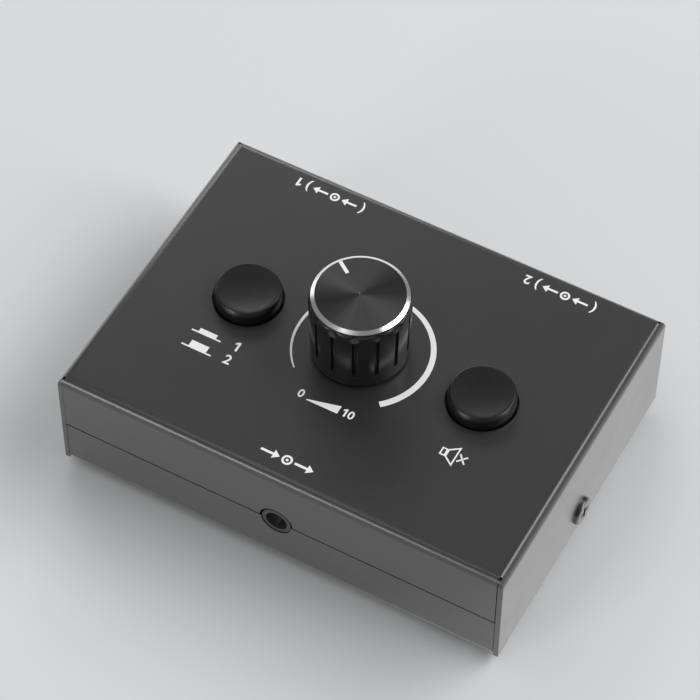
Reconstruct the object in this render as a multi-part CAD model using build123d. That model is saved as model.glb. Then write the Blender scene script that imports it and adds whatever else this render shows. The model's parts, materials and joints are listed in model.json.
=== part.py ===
"""Speaker selector switch: folded steel case, volume knob, two push buttons and three jacks.

The frame has +X to the right along the front, +Y to the back and +Z up. The origin is on the
table, under the middle of the case, so the feet stand on z = 0. All sizes are in millimetres.
"""
from build123d import *
from math import cos, radians, sin
import os

# ------------------------------------------------------------------ case
case_width = 90.0            # across the front, outside
case_depth = 65.0            # front to back, outside
case_height = 24.0           # underside of the case to its top panel
sheet = 1.0                  # steel sheet of both covers
top_bend = 2.0               # outside radius of the top cover's bends
bottom_bend = 1.2            # outside radius of the bottom cover's bends
seam_height = 10.5           # underside of the case to the joint line of the two covers
seam_gap = 0.16              # open height of that joint line
end_gap = 0.10               # each side sheet to the bottom cover's ends
right_slit = 0.16            # top cover's flanges to its right side sheet
left_slit = 0.05             # the same on the left, where the fold closes up
relief_radius = 0.40         # corner relief hole where two bends meet
relief_inset = 1.0           # relief hole's centre from both outer faces of its corner

# ------------------------------------------------------------------ feet
foot_height = 2.0
foot_radius = 4.0
foot_inset_x = 8.5           # foot's centre from the case's side
foot_inset_y = 8.0           # foot's centre from the case's front or back
foot_edge = 0.5              # rounding of a foot's rim

# ------------------------------------------------------------------ screws
screw_radius = 1.5           # M3
screw_length = 5.0           # under the head
screw_point = 0.4            # chamfer at the end
head_radius = 2.75
head_height = 0.8
head_crown = 0.35            # rounding of the head's edge
recess_span = 2.9            # Phillips recess, tip to tip
recess_width = 0.65
recess_depth = 0.9
thread_gap = 0.02            # screw in its tapped hole, on the radius
pass_gap = 0.20              # screw in its plain hole, on the radius
side_screw_height = 4.2      # its axis above the underside of the case

# ------------------------------------------------------------------ side lugs of the bottom cover
lug_width = 14.0
lug_height = 8.6
lug_collar_radius = 2.4      # drawn collar that carries the thread
lug_collar_length = 1.2
lug_corner = 2.0
lug_relief = 0.8             # cut in the floor at each side of a lug's bend
lug_relief_depth = 1.8       # from the floor's end

# ------------------------------------------------------------------ circuit board and standoffs
board_thickness = 1.6
board_gap = 0.6              # board's edge to the case inside it
board_corner = 1.5
standoff_radius = 2.75
standoff_inset_x = 5.2       # standoff's centre from the board's end
standoff_inset_y = 5.4       # standoff's centre from the board's front or back edge
pilot_radius = 2.1           # swaged pilot of a standoff, through the floor
lead_hole_gap = 0.25         # lead's half diagonal to its hole's wall

# ------------------------------------------------------------------ jacks (3.5 mm)
jack_bore_radius = 1.8
jack_bore_depth = 13.0
jack_mouth = 0.30            # chamfer at the bore's mouth
jack_nose_radius = 2.95
jack_hole_gap = 0.12         # nose to the hole in the case, on the radius
jack_nose_recess = 0.15      # nose's face behind the case's outer face
jack_panel_gap = 0.10        # body's shoulder behind the sheet
jack_width = 9.6
jack_length = 13.6           # body behind the shoulder
jack_axis_height = 3.0       # above the board
jack_top = 2.9               # body's top above the bore's axis
jack_edge = 0.6
jack_pocket_depth = 0.6      # side pockets that hold the contact leaves
jack_pocket_height = 3.4
jack_pocket_end = 1.0        # body left in front of and behind a pocket
jack_leaf_length = 3.0
jack_leaf_height = 1.6
jack_left_leads = (3.2, 10.4)    # behind the shoulder
jack_right_leads = (4.4, 10.9)
rear_jack_spacing = 48.0

# ------------------------------------------------------------------ leads
leaf = 0.3                   # thickness of contact leaves and leads
lead_width = 0.8
lead_below_board = 1.4
lead_gap = 0.05              # leaf in its pocket

# ------------------------------------------------------------------ volume potentiometer
pot_x = -0.7                 # axis of the knob, from the middle of the case
pot_y = -0.2
pot_width = 9.8
pot_depth = 11.0
wafer_height = 5.4           # one gang
wafer_floor = 1.2
wafer_edge = 0.8
wafer_cavity_radius = 4.2
track_radius = 4.0
track_bore = 2.7
track_thickness = 0.4
track_sweep = 300.0          # also the knob's travel, in degrees
wiper_radius = 3.7
wiper_thickness = 1.0
wiper_lift = 0.35            # wiper above its track
wiper_nose = 0.8             # width of the contact nose
spindle_neck_radius = 1.9    # spindle inside the wafers
frame_sheet = 0.5
frame_leg_width = 2.4
collar_radius = 4.75
bushing_radius = 3.5         # M7
bushing_above_panel = 3.9
bushing_hole_gap = 0.15
bushing_end = 0.3            # chamfer at its top
spindle_radius = 3.0
running_gap = 0.03           # spindle in its bushing, on the radius
spindle_flat = 1.5           # flat's distance from the axis
spindle_end = 0.4            # chamfer at its top
washer_radius = 5.75
washer_thickness = 0.5
nut_across_flats = 10.0
nut_thickness = 2.2
nut_crown_radius = 5.6       # turned rim that takes the nut's corners off
nut_crown = 0.5
pot_lead_pitch = 2.5
pot_lead_rows = (1.6, 4.1)   # lead rows in front of the wafers

# ------------------------------------------------------------------ volume knob
knob_gap = 0.4               # knob's skirt above the top panel
knob_height = 15.6           # skirt's lower edge to the cap's top face
knob_base_radius = 9.0
knob_top_radius = 9.35
knob_base_round = 0.45
knob_top_round = 0.45
knob_wall = 1.5
knob_boss_radius = 4.6
knob_boss_start = 3.6        # boss's lower end above the skirt's edge
knob_roof = 2.2              # solid top of the moulding
knob_rib = 1.0               # thickness of the ribs between boss and skirt
knob_rib_start = 1.0         # their lower ends above the boss's end
knob_ribs = 6
groove_count = 14
groove_turn = 5.4            # first groove from the knob's own +X, in degrees
groove_width = 0.85
groove_floor_radius = 8.5    # groove's floor from the knob's axis
groove_bottom = 2.8          # above the skirt's edge
groove_top = 13.2
scoop_radius = 2.6           # ball that dishes the edge above each groove
scoop_depth = 0.50
scoop_height = 14.7          # ball's centre above the skirt's edge
cap_radius = 8.90
cap_thickness = 0.75
cap_chamfer_in = 0.70        # bright cut edge, inwards
cap_chamfer_down = 0.45      # bright cut edge, downwards
cap_spigot_radius = 6.0
cap_spigot_length = 0.8
cap_spigot_gap = 0.05
cap_centre_radius = 0.35
index_angle = 55.0           # index line from the back, turning left, at rest
index_width = 0.55
index_length = 2.6
index_depth = 0.12

# ------------------------------------------------------------------ push buttons
button_spacing = 48.0
button_radius = 6.3
button_hole_gap = 0.3        # cap to the hole in the top panel, on the radius
button_proud = 2.8           # top of the cap above the panel
button_shoulder = 1.05       # rounding of the cap's top edge
button_dish = 0.30           # depth of the finger dish
button_dish_margin = 1.35    # dish's rim inside the cap's outer radius
button_wall = 1.2
button_roof = 1.6            # top of the cap to the ceiling of its hollow
button_collar = 0.9          # retaining collar beyond the cap, on the radius
button_collar_height = 1.0
button_height = 6.8          # top of the cap to its lower edge
button_travel = 2.0
socket_wall = 1.1
slide_gap = 0.3              # sliding piece to the hole or panel that keeps it

# ------------------------------------------------------------------ push switches
switch_width = 8.5
switch_height = 8.6
switch_edge = 0.4
switch_lip = 1.2             # roof over the cavity
switch_floor = 1.5
switch_wall = 1.1
plunger_width = 3.6
plunger_flange = 1.1         # flange beyond the plunger, on each side
plunger_flange_height = 1.0
guide_radius = 1.2           # stem inside the spring
spring_wire = 0.22           # radius of the wire
spring_radius = 1.75         # middle of the wire from the axis
spring_turns = 4.0
switch_lead_pitch = 2.0
switch_lead_row = 2.5        # each row of leads from the plunger's axis

# ------------------------------------------------------------------ heights and places from the sizes above
case_bottom = foot_height
floor_top = case_bottom + sheet
panel_top = case_bottom + case_height
panel_under = panel_top - sheet
seam_z = case_bottom + seam_height
board_top = seam_z - jack_axis_height
board_bottom = board_top - board_thickness
screw_z = case_bottom + side_screw_height

tray_half = case_width / 2 - sheet - end_gap
board_width = 2 * (tray_half - sheet - board_gap)
board_depth = case_depth - 2 * (sheet + board_gap)
standoff_x = board_width / 2 - standoff_inset_x
standoff_y = board_depth / 2 - standoff_inset_y
foot_x = case_width / 2 - foot_inset_x
foot_y = case_depth / 2 - foot_inset_y

wafer_top = board_top + 2 * wafer_height
frame_top = wafer_top + frame_sheet
washer_top = panel_top + washer_thickness
nut_top = washer_top + nut_thickness
bushing_top = panel_top + bushing_above_panel
knob_bottom = panel_top + knob_gap
knob_top = knob_bottom + knob_height
mould_top = knob_top - cap_thickness
boss_bottom = max(knob_bottom + knob_boss_start, bushing_top + slide_gap)
bore_top = mould_top - knob_roof

button_x = button_spacing / 2
button_top = panel_top + button_proud
button_bottom = button_top - button_height
collar_top = panel_under - slide_gap
switch_top = board_top + switch_height
flange_top = switch_top - switch_lip - slide_gap
flange_bottom = flange_top - plunger_flange_height
socket_top = button_top - button_roof
lead_bottom = board_bottom - lead_below_board

CORNERS = [(-1, -1), (1, -1), (1, 1), (-1, 1)]
STAND = (Align.CENTER, Align.CENTER, Align.MIN)
HANG = (Align.CENTER, Align.CENTER, Align.MAX)


# ------------------------------------------------------------------ shared shapes
def block(width, depth, bottom, top, x=0.0, y=0.0):
    """A box centred on x, y between two heights."""
    return Pos(x, y, bottom) * Box(width, depth, top - bottom, align=STAND)


def drum(radius, bottom, top, x=0.0, y=0.0):
    """An upright cylinder centred on x, y between two heights."""
    return Pos(x, y, bottom) * Cylinder(radius, top - bottom, align=STAND)


def turned(*points):
    """A solid of revolution about Z from half-profile points (radius, height)."""
    outline = Polyline(*points, close=True)
    return revolve(Plane.XZ * make_face(outline), Axis.Z)


def rim(solid, height, radius):
    """The round edges of a solid at one height and radius."""
    edges = solid.edges().filter_by(GeomType.CIRCLE)
    return [e for e in edges if abs(e.center().Z - height) < 1e-4 and abs(e.radius - radius) < 1e-4]


def across_x(radius, length, x, y, z):
    """A cylinder along X, centred on a point."""
    return Pos(x, y, z) * Rot(0, 90, 0) * Cylinder(radius, length)


def across_y(radius, length, x, y, z):
    """A cylinder along Y, centred on a point."""
    return Pos(x, y, z) * Rot(90, 0, 0) * Cylinder(radius, length)


def save(name, *solids):
    """Write one node, which holds one solid or a group of like ones."""
    node = solids[0] if len(solids) == 1 else Compound(children=list(solids))
    export_step(node, f"parts/{name}.step")


def low_screw():
    """M3 screw with a thin flat head, head up, with the underside of its head on z = 0."""
    head = drum(head_radius, 0, head_height)
    head = fillet(rim(head, head_height, head_radius), head_crown)
    arm = Pos(0, 0, head_height) * Box(recess_span, recess_width, 2 * recess_depth)
    head -= arm + Rot(0, 0, 90) * arm
    shank = drum(screw_radius, -screw_length, 0)
    shank = chamfer(rim(shank, -screw_length, screw_radius), screw_point)
    return head + shank


def lead(width, depth, top, x, y):
    """A straight lead that goes down through the board."""
    return block(width, depth, lead_bottom, top, x, y)


# ------------------------------------------------------------------ places of the leads
def jack_lead_places():
    """Leads of a jack seen from its mouth: (across, behind the shoulder)."""
    half = jack_width / 2 - jack_pocket_depth + lead_gap + leaf / 2
    left = [(-half, behind) for behind in jack_left_leads]
    return left + [(half, behind) for behind in jack_right_leads]


def pot_lead_places():
    """Leads of the potentiometer, one row for each gang."""
    front = pot_y - pot_depth / 2
    columns = (-pot_lead_pitch, 0, pot_lead_pitch)
    return [(pot_x + c, front - row) for row in pot_lead_rows for c in columns]


def frame_leg_places():
    """The two legs of the potentiometer's frame."""
    side = pot_width / 2 + frame_sheet / 2
    return [(pot_x - side, pot_y), (pot_x + side, pot_y)]


def switch_lead_places(x):
    """Six leads of a push switch in two rows."""
    rows = (-switch_lead_row, switch_lead_row)
    return [(x + row, c * switch_lead_pitch) for row in rows for c in (-1, 0, 1)]


# ------------------------------------------------------------------ case
def rounded_block(width, depth, bottom, top, radius):
    """A block with the four edges of its top face rounded."""
    body = block(width, depth, bottom, top)
    return fillet(body.faces().sort_by(Axis.Z)[-1].edges(), radius)


def make_top_cover():
    cover = rounded_block(case_width, case_depth, case_bottom, panel_top, top_bend)
    inner_width = case_width - 2 * sheet
    inner_depth = case_depth - 2 * sheet
    cover -= rounded_block(inner_width, inner_depth, case_bottom, panel_under, top_bend - sheet)
    cover -= block(inner_width, 2 * case_depth, case_bottom, seam_z + seam_gap / 2)
    for side, end in CORNERS:
        slit = right_slit if side > 0 else left_slit
        slit_x = side * (inner_width / 2 - slit / 2)
        slit_y = end * (case_depth - sheet) / 2
        cover -= block(slit, 1.5 * sheet, seam_z, panel_top, slit_x, slit_y)
        relief_x = side * (case_width / 2 - relief_inset)
        relief_y = end * (case_depth / 2 - relief_inset)
        cover -= drum(relief_radius, panel_under - top_bend, panel_top, relief_x, relief_y)
    for x in (-button_x, button_x):
        cover -= drum(button_radius + button_hole_gap, panel_under, panel_top, x)
    cover -= drum(bushing_radius + bushing_hole_gap, panel_under, panel_top, pot_x, pot_y)
    cover -= across_x(screw_radius + pass_gap, 2 * case_width, 0, 0, screw_z)
    return cover - jack_holes()


def top_cover_pieces():
    """The folded sheet as five simple pieces that meet along its bends."""
    cover = make_top_cover()
    inside = case_width / 2 - sheet
    pieces = {}
    for name, side, slit in (("left", -1, left_slit), ("right", 1, right_slit)):
        room = block(case_width, 2 * case_depth, case_bottom, panel_top,
                     side * (inside - slit + case_width / 2))
        pieces[name] = cover & room
        cover -= room
    for name, end in (("front", -1), ("rear", 1)):
        room = block(2 * case_width, case_depth, case_bottom, panel_top, 0,
                     end * (case_depth - top_bend))
        pieces[name] = cover & room
        cover -= room
    pieces["panel"] = cover
    return pieces


def jack_holes():
    """The three round holes that the two covers share along their joint line."""
    radius = jack_nose_radius + jack_hole_gap
    front = across_y(radius, 2 * sheet, 0, -case_depth / 2, seam_z)
    rear = [across_y(radius, 2 * sheet, s * rear_jack_spacing / 2, case_depth / 2, seam_z) for s in (-1, 1)]
    return front + rear


def make_bottom_cover():
    top = seam_z - seam_gap / 2
    tray = block(2 * tray_half, case_depth, case_bottom, top)
    edges = tray.faces().sort_by(Axis.Z)[0].edges().filter_by(Axis.X)
    tray = fillet(edges, bottom_bend)
    inside = block(2 * case_width, case_depth - 2 * sheet, floor_top, seam_z)
    edges = inside.faces().sort_by(Axis.Z)[0].edges().filter_by(Axis.X)
    tray -= fillet(edges, bottom_bend - sheet)
    for side in (-1, 1):
        tray -= block(2 * lug_relief_depth, lug_width + 2 * lug_relief, case_bottom, floor_top,
                      side * tray_half)
        tray += side_lug(side)
    for sx, sy in CORNERS:
        tray -= drum(pilot_radius + thread_gap, case_bottom, floor_top, sx * standoff_x, sy * standoff_y)
    tray -= across_x(screw_radius + thread_gap, 2 * case_width, 0, 0, screw_z)
    return tray - jack_holes()


def side_lug(side):
    """A lug folded up from the floor's end, with a drawn collar for the side screw."""
    top = case_bottom + lug_height
    reach = 2 * lug_relief_depth
    lug = block(reach, lug_width, case_bottom, top, tray_half - reach / 2)
    lug = fillet(lower_end(lug), bottom_bend)
    room = block(reach, lug_width, floor_top, top, tray_half - sheet - reach / 2)
    lug -= fillet(lower_end(room), bottom_bend - sheet)
    upper = lug.faces().sort_by(Axis.Z)[-1].edges().filter_by(Axis.X)
    lug = fillet(upper, lug_corner)
    lug += across_x(lug_collar_radius, lug_collar_length,
                    tray_half - sheet - lug_collar_length / 2, 0, screw_z)
    return Rot(0, 0, 0 if side > 0 else 180) * lug


def lower_end(solid):
    """The lower edge of a block's face on the right."""
    return solid.faces().sort_by(Axis.X)[-1].edges().filter_by(Axis.Y).sort_by(Axis.Z)[0]


def make_side_screws():
    right = Pos(case_width / 2, 0, screw_z) * Rot(0, 90, 0) * low_screw()
    left = Pos(-case_width / 2, 0, screw_z) * Rot(0, -90, 0) * low_screw()
    return [left, right]


def make_feet():
    feet = []
    for sx, sy in CORNERS:
        foot = drum(foot_radius, 0, foot_height)
        foot = fillet(rim(foot, 0, foot_radius), foot_edge)
        feet.append(Pos(sx * foot_x, sy * foot_y, 0) * foot)
    return feet


# ------------------------------------------------------------------ board
def make_standoffs():
    posts = []
    for sx, sy in CORNERS:
        post = drum(standoff_radius, floor_top, board_bottom)
        post += drum(pilot_radius, case_bottom, floor_top)
        post -= drum(screw_radius + thread_gap, case_bottom, board_bottom)
        posts.append(Pos(sx * standoff_x, sy * standoff_y, 0) * post)
    return posts


def make_board_screws():
    return [Pos(sx * standoff_x, sy * standoff_y, board_top) * low_screw() for sx, sy in CORNERS]


def make_circuit_board():
    board = block(board_width, board_depth, board_bottom, board_top)
    board = fillet(board.edges().filter_by(Axis.Z), board_corner)
    holes = [drum(screw_radius + pass_gap, board_bottom, board_top, sx * standoff_x, sy * standoff_y)
             for sx, sy in CORNERS]
    lead_hole = (lead_width ** 2 + leaf ** 2) ** 0.5 / 2 + lead_hole_gap
    places = pot_lead_places()
    for x in (-button_x, button_x):
        places += switch_lead_places(x)
    for jack in JACKS:
        places += [jack_point(jack, across, behind) for across, behind in jack_lead_places()]
    holes += [drum(lead_hole, board_bottom, board_top, x, y) for x, y in places]
    notch_start = tray_half - sheet - lug_collar_length - board_gap
    notch_width = 2 * (lug_collar_radius + board_gap)
    for side in (-1, 1):
        middle = side * (notch_start + board_width / 2) / 2
        holes.append(block(board_width / 2 - notch_start, notch_width, board_bottom, board_top, middle))
    for x, y in frame_leg_places():
        holes.append(block(frame_sheet + 2 * lead_gap, frame_leg_width / 2 + 2 * lead_gap,
                           board_bottom, board_top, x, y))
    return board - holes


# ------------------------------------------------------------------ jacks
# name, x of the bore's axis, and +1 where the mouth faces the back
JACKS = [
    ("front_jack", 0.0, -1),
    ("rear_jack_1", -rear_jack_spacing / 2, 1),
    ("rear_jack_2", rear_jack_spacing / 2, 1),
]


def jack_point(jack, across, behind):
    """A place on the board from a jack's own place: across, and behind its shoulder."""
    _, x, end = jack
    shoulder = case_depth / 2 - sheet - jack_panel_gap
    return x - end * across, end * (shoulder - behind)


def in_case(jack, shape):
    """Move a jack piece, made with its mouth towards -Y and its shoulder on y = 0, to its place."""
    _, x, end = jack
    shoulder = case_depth / 2 - sheet - jack_panel_gap
    turn = 180 if end > 0 else 0
    return Pos(x, end * shoulder, seam_z) * Rot(0, 0, turn) * shape


def jack_housing():
    """Moulded body and round nose, with the plug's bore and two open side pockets."""
    body = Box(jack_width, jack_length, jack_axis_height + jack_top,
               align=(Align.CENTER, Align.MIN, Align.MAX))
    body = Pos(0, 0, jack_top) * body
    body = chamfer(body.faces().sort_by(Axis.Z)[-1].edges(), jack_edge)
    nose_length = jack_panel_gap + sheet - jack_nose_recess
    body += across_y(jack_nose_radius, nose_length, 0, -nose_length / 2, 0)
    body -= across_y(jack_bore_radius, jack_bore_depth, 0, jack_bore_depth / 2 - nose_length, 0)
    mouth = body.faces().sort_by(Axis.Y)[0].inner_wires()[0].edges()
    body = chamfer(mouth, jack_mouth)
    pocket = Box(jack_pocket_depth, jack_length - 2 * jack_pocket_end, jack_pocket_height)
    for side in (-1, 1):
        x = side * (jack_width / 2 - jack_pocket_depth / 2)
        body -= Pos(x, jack_length / 2, -jack_axis_height + jack_pocket_height / 2) * pocket
    return body


def jack_contacts():
    """Four contact leaves in the side pockets, each with its lead through the board."""
    leaves = []
    top = -jack_axis_height + jack_pocket_height - lead_gap
    for across, behind in jack_lead_places():
        strip = Box(leaf, jack_leaf_length, jack_leaf_height, align=HANG)
        leg = Box(leaf, lead_width, top + seam_z - lead_bottom, align=HANG)
        leaves.append(Pos(across, behind, top) * (strip + leg))
    return leaves


# ------------------------------------------------------------------ potentiometer
def make_wafer(gang):
    """One moulded gang with a round cavity; its floor lets the spindle's neck through."""
    bottom = board_top + gang * wafer_height
    wafer = block(pot_width, pot_depth, bottom, bottom + wafer_height)
    wafer = chamfer(wafer.edges().filter_by(Axis.Z), wafer_edge)
    wafer -= drum(wafer_cavity_radius, bottom + wafer_floor, bottom + wafer_height)
    if gang:
        wafer -= drum(spindle_neck_radius + slide_gap, bottom, bottom + wafer_floor)
    return Pos(pot_x, pot_y, 0) * wafer


def make_tracks():
    """Two horseshoe resistance tracks, open towards the leads, one on each wafer's floor."""
    tracks = []
    for gang in (0, 1):
        bottom = board_top + gang * wafer_height + wafer_floor
        track = drum(track_radius, bottom, bottom + track_thickness)
        track -= drum(track_bore, bottom, bottom + track_thickness)
        gap = 360 - track_sweep
        reach = 2 * track_radius
        left = (-reach * sin(radians(gap / 2)), -reach * cos(radians(gap / 2)))
        right = (-left[0], left[1])
        wedge = make_face(Polyline((0, 0), left, right, close=True))
        track -= Pos(0, 0, bottom) * extrude(wedge, track_thickness)
        tracks.append(Pos(pot_x, pot_y, 0) * track)
    return tracks


def make_wipers():
    """Two contact carriers on the spindle's neck, each with a contact nose over its track."""
    wipers = []
    middle = (track_radius + track_bore) / 2
    for gang in (0, 1):
        bottom = board_top + gang * wafer_height + wafer_floor + track_thickness + wiper_lift
        wiper = drum(wiper_radius, bottom, bottom + wiper_thickness)
        wiper -= drum(spindle_neck_radius, bottom, bottom + wiper_thickness)
        wiper += block(wiper_nose, wiper_nose, bottom - wiper_lift / 2, bottom, 0, middle)
        wipers.append(Pos(pot_x, pot_y, 0) * Rot(0, 0, index_angle) * wiper)
    return wipers


def make_spindle():
    """Stepped spindle: neck in the wafers, round in the bushing, flat in the knob."""
    shoulder = frame_top
    foot = board_top + wafer_floor + slide_gap
    flat_start = bushing_top + slide_gap
    spindle = drum(spindle_neck_radius, foot, shoulder)
    spindle += drum(spindle_radius, shoulder, bore_top)
    spindle = chamfer(rim(spindle, bore_top, spindle_radius), spindle_end)
    cut = block(2 * spindle_radius, 2 * spindle_radius, flat_start, bore_top, 0,
                spindle_flat + spindle_radius)
    spindle -= cut
    return Pos(pot_x, pot_y, 0) * Rot(0, 0, index_angle) * spindle


def make_bushing():
    """Die-cast collar between the frame and the panel, and the M7 thread above it."""
    bushing = drum(collar_radius, frame_top, panel_under)
    bushing += drum(bushing_radius, panel_under, bushing_top)
    bushing = chamfer(rim(bushing, bushing_top, bushing_radius), bushing_end)
    bushing -= drum(spindle_radius + running_gap, frame_top, bushing_top)
    return Pos(pot_x, pot_y, 0) * bushing


def make_frame():
    """Sheet frame over the wafers, with one leg down each side into the board."""
    outer = pot_width + 2 * frame_sheet
    frame = block(outer, pot_depth, wafer_top, frame_top)
    frame -= drum(spindle_radius + running_gap, wafer_top, frame_top)
    for side in (-1, 1):
        x = side * (pot_width + frame_sheet) / 2
        frame += block(frame_sheet, frame_leg_width, board_top, frame_top, x)
        frame += block(frame_sheet, frame_leg_width / 2, lead_bottom, board_top, x)
    return Pos(pot_x, pot_y, 0) * frame


def make_pot_leads():
    """Bent leads: out of the front of a wafer, then down through the board."""
    leads = []
    places = pot_lead_places()
    front = pot_y - pot_depth / 2
    for number, (x, y) in enumerate(places):
        gang = number // 3
        top = board_top + gang * wafer_height + wafer_floor
        arm = block(lead_width, front - y + leaf / 2, top - leaf, top, x, (front + y - leaf / 2) / 2)
        leads.append(arm + lead(lead_width, leaf, top, x, y))
    return leads


def make_washer():
    washer = drum(washer_radius, panel_top, washer_top)
    washer -= drum(bushing_radius + bushing_hole_gap, panel_top, washer_top)
    return Pos(pot_x, pot_y, 0) * washer


def make_nut():
    hexagon = RegularPolygon(nut_across_flats / 2, 6, major_radius=False)
    nut = Pos(0, 0, washer_top) * extrude(hexagon, nut_thickness)
    crown = drum(nut_crown_radius, washer_top, nut_top)
    nut &= chamfer(rim(crown, nut_top, nut_crown_radius), nut_crown)
    nut -= drum(bushing_radius + thread_gap, washer_top, nut_top)
    return Pos(pot_x, pot_y, 0) * nut


# ------------------------------------------------------------------ knob
def knob_radius_at(height):
    """Outside radius of the tapered knob at a height above its skirt's edge."""
    share = height / (mould_top - knob_bottom)
    return knob_base_radius + share * (knob_top_radius - knob_base_radius)


def make_knob_body():
    knob = turned((0, knob_bottom), (knob_base_radius, knob_bottom), (knob_top_radius, mould_top),
                  (0, mould_top))
    knob = fillet(rim(knob, knob_bottom, knob_base_radius), knob_base_round)
    knob = fillet(rim(knob, mould_top, knob_top_radius), knob_top_round)
    knob -= knob_grooves()
    knob -= knob_scoops()
    inside = knob_base_radius - knob_wall
    knob -= drum(inside, knob_bottom, boss_bottom)
    hollow = drum(inside, boss_bottom, bore_top) - drum(knob_boss_radius, boss_bottom, bore_top)
    for number in range(knob_ribs):
        rib = block(inside, knob_rib, boss_bottom + knob_rib_start, bore_top, inside / 2)
        hollow -= Rot(0, 0, number * 360 / knob_ribs) * rib
    knob -= hollow
    bore = drum(spindle_radius + thread_gap, boss_bottom, bore_top + slide_gap)
    bore -= block(3 * spindle_radius, 2 * spindle_radius, boss_bottom, bore_top + slide_gap, 0,
                  spindle_flat + thread_gap + spindle_radius)
    knob -= bore
    seat = mould_top - cap_spigot_length - cap_spigot_gap
    knob -= drum(cap_spigot_radius + cap_spigot_gap, seat, mould_top)
    return Pos(pot_x, pot_y, 0) * Rot(0, 0, index_angle) * knob


def round_knob(tool):
    """Copies of a tool, one for each groove."""
    step = 360 / groove_count
    return [Rot(0, 0, groove_turn + number * step) * tool for number in range(groove_count)]


def knob_grooves():
    """Upright grooves with round ends."""
    length = groove_top - groove_bottom
    middle = knob_bottom + (groove_top + groove_bottom) / 2
    face = Plane(origin=(groove_floor_radius, 0, middle), x_dir=(0, 0, 1), z_dir=(1, 0, 0))
    return round_knob(extrude(face * SlotOverall(length, groove_width), 2 * knob_wall))


def knob_scoops():
    """Round dishes that face up and outwards, one over the top end of each groove."""
    reach = knob_radius_at(scoop_height) + scoop_radius - scoop_depth
    return round_knob(Pos(reach, 0, knob_bottom + scoop_height) * Rot(0, 90, 0) * Sphere(scoop_radius))


def make_knob_cap():
    """Turned aluminium cap: cut bright edge, shallow index slot, glued spigot."""
    cap = drum(cap_radius, mould_top, knob_top)
    cap = chamfer(rim(cap, knob_top, cap_radius), cap_chamfer_down, cap_chamfer_in,
                  reference=cap.faces().filter_by(GeomType.CYLINDER)[0])
    cap += drum(cap_spigot_radius, mould_top - cap_spigot_length, mould_top)
    face_radius = cap_radius - cap_chamfer_in
    slot_y = face_radius - index_length / 2
    cap -= block(index_width, index_length, knob_top - index_depth, knob_top, 0, slot_y)
    cap -= turned((0, knob_top), (cap_centre_radius, knob_top), (0, knob_top - cap_centre_radius))
    return Pos(pot_x, pot_y, 0) * Rot(0, 0, index_angle) * cap


# ------------------------------------------------------------------ push buttons and switches
def make_button_cap(x):
    """Hollow moulded cap with a retaining collar and a socket for the plunger."""
    cap = drum(button_radius, button_bottom, button_top)
    cap = fillet(rim(cap, button_top, button_radius), button_shoulder)
    rim_radius = button_radius - button_dish_margin
    ball = (rim_radius ** 2 + button_dish ** 2) / (2 * button_dish)
    cap -= Pos(0, 0, button_top + ball - button_dish) * Sphere(ball)
    cap += drum(button_radius + button_collar, collar_top - button_collar_height, collar_top)
    cap -= drum(button_radius - button_wall, button_bottom, socket_top)
    socket = plunger_width + 2 * (socket_wall + thread_gap)
    cap += block(socket, socket, button_bottom, socket_top)
    slot = plunger_width + 2 * thread_gap
    cap -= block(slot, slot, button_bottom, socket_top)
    return Pos(x, 0, 0) * cap


def make_plunger(x):
    """Square plunger with a flange under the switch's roof and a stem inside the spring."""
    plunger = block(plunger_width, plunger_width, flange_bottom, socket_top)
    wide = plunger_width + 2 * plunger_flange
    plunger += block(wide, wide, flange_bottom, flange_top)
    stem_bottom = board_top + switch_floor + button_travel + slide_gap
    plunger += drum(guide_radius, stem_bottom, flange_bottom)
    return Pos(x, 0, 0) * plunger


def make_switch_housing(x):
    """Square moulded switch body with a cavity for the plunger's flange and its spring."""
    body = block(switch_width, switch_width, board_top, switch_top)
    body = chamfer(body.faces().sort_by(Axis.Z)[-1].edges(), switch_edge)
    cavity = switch_width - 2 * switch_wall
    body -= block(cavity, cavity, board_top + switch_floor, switch_top - switch_lip)
    throat = plunger_width + 2 * slide_gap
    body -= block(throat, throat, switch_top - switch_lip, switch_top)
    return Pos(x, 0, 0) * body


def make_spring(x):
    """Return spring between the switch's floor and the plunger's flange."""
    bottom = board_top + switch_floor + spring_wire + lead_gap
    height = flange_bottom - lead_gap - spring_wire - bottom
    path = Helix(height / spring_turns, height, spring_radius)
    section = Plane(origin=path @ 0, z_dir=path % 0) * Circle(spring_wire)
    return Pos(x, 0, bottom) * sweep(section, path)


def make_switch_leads(x):
    return [lead(leaf, lead_width, board_top, px, py) for px, py in switch_lead_places(x)]


# ------------------------------------------------------------------ nodes
os.makedirs("parts", exist_ok=True)

for piece_name, piece in top_cover_pieces().items():
    save(f"top_cover_{piece_name}", piece)
save("bottom_cover", make_bottom_cover())
save("side_screws", *make_side_screws())
save("rubber_feet", *make_feet())
save("board_standoffs", *make_standoffs())
save("board_screws", *make_board_screws())
save("circuit_board", make_circuit_board())

for one_jack in JACKS:
    save(f"{one_jack[0]}_housing", in_case(one_jack, jack_housing()))
    save(f"{one_jack[0]}_contacts", *[in_case(one_jack, piece) for piece in jack_contacts()])

save("pot_lower_wafer", make_wafer(0))
save("pot_upper_wafer", make_wafer(1))
save("pot_tracks", *make_tracks())
save("pot_leads", *make_pot_leads())
save("pot_frame", make_frame())
save("pot_bushing", make_bushing())
save("pot_washer", make_washer())
save("pot_nut", make_nut())
save("pot_spindle", make_spindle())
save("pot_wipers", *make_wipers())
save("knob_body", make_knob_body())
save("knob_cap", make_knob_cap())

for button, place in (("select", -button_x), ("mute", button_x)):
    save(f"{button}_button_cap", make_button_cap(place))
    save(f"{button}_switch_plunger", make_plunger(place))
    save(f"{button}_switch_housing", make_switch_housing(place))
    save(f"{button}_switch_spring", make_spring(place))
    save(f"{button}_switch_leads", *make_switch_leads(place))
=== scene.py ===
import bpy
import json
from math import atan2, cos, degrees, hypot, pi, radians, sin
from mathutils import Matrix, Vector


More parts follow.
